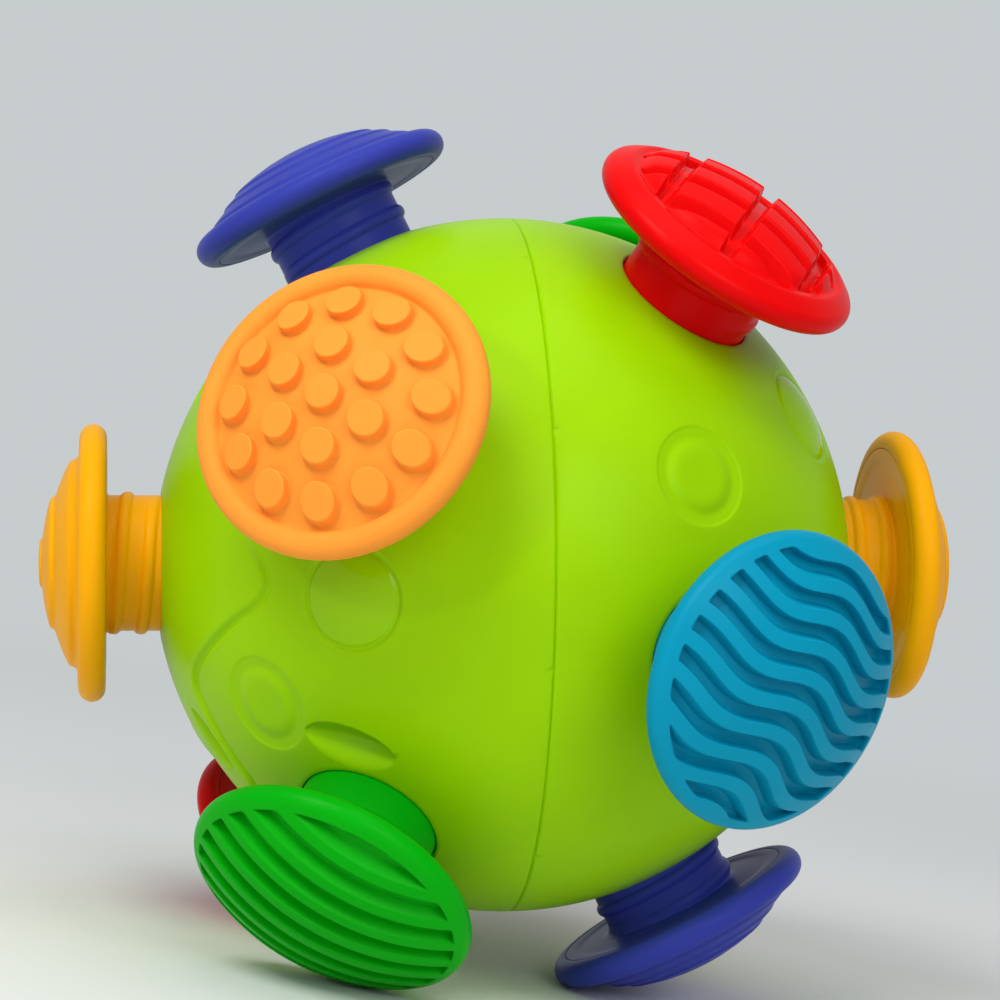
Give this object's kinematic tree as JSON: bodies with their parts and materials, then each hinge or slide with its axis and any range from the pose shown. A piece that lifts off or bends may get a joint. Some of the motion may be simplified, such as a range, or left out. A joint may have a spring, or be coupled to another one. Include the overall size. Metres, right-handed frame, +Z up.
{
  "type": "sensory ball",
  "caption": "Hollow two-part toy ball with round textured knobs that screw in and out on threaded stems.",
  "frame": {"origin": "on the surface that the ball stands on, straight below the middle of the ball", "axes": "+Z up; +Y away from the viewer of the picture; the yellow knob's pole points 188 degrees round from +X, almost level"},
  "size_m": [0.1635, 0.158, 0.1501],
  "materials": {
    "shell_lime": "gloss, moulded",
    "orange_face": "satin, slightly rubbery",
    "orange_stem": "gloss",
    "blue_face": "gloss",
    "blue_stem": "gloss",
    "green_face": "gloss",
    "green_stem": "gloss",
    "red_face": "gloss",
    "red_stem": "gloss",
    "yellow_face": "satin gloss",
    "yellow_stem": "gloss",
    "purple_face": "gloss",
    "purple_stem": "gloss"
  },
  "bodies": {
    "shell": {"shell_left": "shell_lime", "shell_right": "shell_lime"},
    "pegs_front_ring": {"pegs_front_stop": "orange_stem"},
    "pegs_front_knob": {"pegs_front_face": "orange_face", "pegs_front_plate": "orange_stem", "pegs_front_stem": "orange_stem"},
    "pegs_back_ring": {"pegs_back_stop": "orange_stem"},
    "pegs_back_knob": {"pegs_back_face": "orange_face", "pegs_back_plate": "orange_stem", "pegs_back_stem": "orange_stem"},
    "waves_front_ring": {"waves_front_stop": "blue_stem"},
    "waves_front_knob": {"waves_front_face": "blue_face", "waves_front_plate": "blue_stem", "waves_front_stem": "blue_stem"},
    "waves_back_ring": {"waves_back_stop": "blue_stem"},
    "waves_back_knob": {"waves_back_face": "blue_face", "waves_back_plate": "blue_stem", "waves_back_stem": "blue_stem"},
    "stripes_front_ring": {"stripes_front_stop": "green_stem"},
    "stripes_front_knob": {"stripes_front_face": "green_face", "stripes_front_plate": "green_stem", "stripes_front_stem": "green_stem"},
    "stripes_back_ring": {"stripes_back_stop": "green_stem"},
    "stripes_back_knob": {"stripes_back_face": "green_face", "stripes_back_plate": "green_stem", "stripes_back_stem": "green_stem"},
    "blocks_top_ring": {"blocks_top_stop": "red_stem"},
    "blocks_top_knob": {"blocks_top_face": "red_face", "blocks_top_plate": "red_stem", "blocks_top_stem": "red_stem"},
    "blocks_bottom_ring": {"blocks_bottom_stop": "red_stem"},
    "blocks_bottom_knob": {"blocks_bottom_face": "red_face", "blocks_bottom_plate": "red_stem", "blocks_bottom_stem": "red_stem"},
    "steps_left_ring": {"steps_left_stop": "yellow_stem"},
    "steps_left_knob": {"steps_left_face": "yellow_face", "steps_left_plate": "yellow_stem", "steps_left_stem": "yellow_stem"},
    "steps_right_ring": {"steps_right_stop": "yellow_stem"},
    "steps_right_knob": {"steps_right_face": "yellow_face", "steps_right_plate": "yellow_stem", "steps_right_stem": "yellow_stem"},
    "rings_top_ring": {"rings_top_stop": "purple_stem"},
    "rings_top_knob": {"rings_top_face": "purple_face", "rings_top_plate": "purple_stem", "rings_top_stem": "purple_stem"},
    "rings_bottom_ring": {"rings_bottom_stop": "purple_stem"},
    "rings_bottom_knob": {"rings_bottom_face": "purple_face", "rings_bottom_plate": "purple_stem", "rings_bottom_stem": "purple_stem"}
  },
  "joints": [
    {"name": "pegs_front_travel", "type": "slide", "parent": "shell", "child": "pegs_front_ring", "axis": [-0.3736, -0.8848, 0.2785], "range_m": [-0.0127, 0.0007]},
    {"name": "pegs_front_turn", "type": "hinge", "parent": "pegs_front_ring", "child": "pegs_front_knob", "pos_m": [-0.02887, -0.06836, 0.09514], "axis": [-0.3736, -0.8848, 0.2785], "range_deg": [-952.58, 52.58]},
    {"name": "pegs_back_travel", "type": "slide", "parent": "shell", "child": "pegs_back_ring", "axis": [0.3736, 0.8848, -0.2785], "range_m": [-0.0079, 0.0055]},
    {"name": "pegs_back_turn", "type": "hinge", "parent": "pegs_back_ring", "child": "pegs_back_knob", "pos_m": [0.02708, 0.06412, 0.05344], "axis": [0.3736, 0.8848, -0.2785], "range_deg": [-592.58, 412.58]},
    {"name": "waves_front_travel", "type": "slide", "parent": "shell", "child": "waves_front_ring", "axis": [0.5887, -0.7968, -0.1359], "range_m": [-0.0122, 0.0012]},
    {"name": "waves_front_turn", "type": "hinge", "parent": "waves_front_ring", "child": "waves_front_knob", "pos_m": [0.04519, -0.06117, 0.06319], "axis": [0.5887, -0.7968, -0.1359], "range_deg": [-915.07, 90.08]},
    {"name": "waves_back_travel", "type": "slide", "parent": "shell", "child": "waves_back_ring", "axis": [-0.5887, 0.7968, 0.1359], "range_m": [-0.0073, 0.0061]},
    {"name": "waves_back_turn", "type": "hinge", "parent": "waves_back_ring", "child": "waves_back_knob", "pos_m": [-0.04231, 0.05727, 0.08339], "axis": [-0.5887, 0.7968, 0.1359], "range_deg": [-547.58, 457.58]},
    {"name": "stripes_front_travel", "type": "slide", "parent": "shell", "child": "stripes_front_ring", "axis": [-0.2589, -0.6273, -0.7345], "range_m": [-0.0118, 0.0016]},
    {"name": "stripes_front_turn", "type": "hinge", "parent": "stripes_front_ring", "child": "stripes_front_knob", "pos_m": [-0.01977, -0.0479, 0.01753], "axis": [-0.2589, -0.6273, -0.7345], "range_deg": [-885.08, 120.07]},
    {"name": "stripes_back_travel", "type": "slide", "parent": "shell", "child": "stripes_back_ring", "axis": [0.2589, 0.6273, 0.7345], "range_m": [-0.0049, 0.0085]},
    {"name": "stripes_back_turn", "type": "hinge", "parent": "stripes_back_ring", "child": "stripes_back_knob", "pos_m": [0.01799, 0.04358, 0.12464], "axis": [0.2589, 0.6273, 0.7345], "range_deg": [-367.58, 637.58]},
    {"name": "blocks_top_travel", "type": "slide", "parent": "shell", "child": "blocks_top_ring", "axis": [0.3918, -0.412, 0.8226], "range_m": [-0.0101, 0.0033]},
    {"name": "blocks_top_turn", "type": "hinge", "parent": "blocks_top_ring", "child": "blocks_top_knob", "pos_m": [0.02926, -0.03076, 0.13504], "axis": [0.3918, -0.412, 0.8226], "range_deg": [-757.57, 247.58]},
    {"name": "blocks_bottom_travel", "type": "slide", "parent": "shell", "child": "blocks_bottom_ring", "axis": [-0.3918, 0.412, -0.8226], "range_m": [-0.0066, 0.0068]},
    {"name": "blocks_bottom_turn", "type": "hinge", "parent": "blocks_bottom_ring", "child": "blocks_bottom_knob", "pos_m": [-0.02789, 0.02932, 0.01508], "axis": [-0.3918, 0.412, -0.8226], "range_deg": [-495.08, 510.08]},
    {"name": "steps_left_travel", "type": "slide", "parent": "shell", "child": "steps_left_ring", "axis": [-0.9797, -0.1377, -0.146], "range_m": [-0.0091, 0.0043]},
    {"name": "steps_left_turn", "type": "hinge", "parent": "steps_left_ring", "child": "steps_left_knob", "pos_m": [-0.07217, -0.01014, 0.06287], "axis": [-0.9797, -0.1377, -0.146], "range_deg": [-322.58, 682.58]},
    {"name": "steps_right_travel", "type": "slide", "parent": "shell", "child": "steps_right_ring", "axis": [0.9797, 0.1377, 0.146], "range_m": [-0.0084, 0.005]},
    {"name": "steps_right_turn", "type": "hinge", "parent": "steps_right_ring", "child": "steps_right_knob", "pos_m": [0.07148, 0.01005, 0.08427], "axis": [0.9797, 0.1377, 0.146], "range_deg": [-375.08, 630.08]},
    {"name": "rings_top_travel", "type": "slide", "parent": "shell", "child": "rings_top_ring", "axis": [-0.5775, -0.0046, 0.8164], "range_m": [-0.0095, 0.0039]},
    {"name": "rings_top_turn", "type": "hinge", "parent": "rings_top_ring", "child": "rings_top_knob", "pos_m": [-0.04277, -0.00034, 0.13409], "axis": [-0.5775, -0.0046, 0.8164], "range_deg": [-712.58, 292.58]},
    {"name": "rings_bottom_travel", "type": "slide", "parent": "shell", "child": "rings_bottom_ring", "axis": [0.5775, 0.0046, -0.8164], "range_m": [-0.0069, 0.0065]},
    {"name": "rings_bottom_turn", "type": "hinge", "parent": "rings_bottom_ring", "child": "rings_bottom_knob", "pos_m": [0.04127, 0.00033, 0.01528], "axis": [0.5775, 0.0046, -0.8164], "range_deg": [-517.58, 487.58]}
  ],
  "couplings": [
    {"joint": "pegs_front_turn", "follows": "pegs_front_travel", "rad_per_m": 1309},
    {"joint": "pegs_back_turn", "follows": "pegs_back_travel", "rad_per_m": 1309},
    {"joint": "waves_front_turn", "follows": "waves_front_travel", "rad_per_m": 1309},
    {"joint": "waves_back_turn", "follows": "waves_back_travel", "rad_per_m": 1309},
    {"joint": "stripes_front_turn", "follows": "stripes_front_travel", "rad_per_m": 1309},
    {"joint": "stripes_back_turn", "follows": "stripes_back_travel", "rad_per_m": 1309},
    {"joint": "blocks_top_turn", "follows": "blocks_top_travel", "rad_per_m": 1309},
    {"joint": "blocks_bottom_turn", "follows": "blocks_bottom_travel", "rad_per_m": 1309},
    {"joint": "steps_left_turn", "follows": "steps_left_travel", "rad_per_m": -1309},
    {"joint": "steps_right_turn", "follows": "steps_right_travel", "rad_per_m": -1309},
    {"joint": "rings_top_turn", "follows": "rings_top_travel", "rad_per_m": 1309},
    {"joint": "rings_bottom_turn", "follows": "rings_bottom_travel", "rad_per_m": 1309}
  ]
}
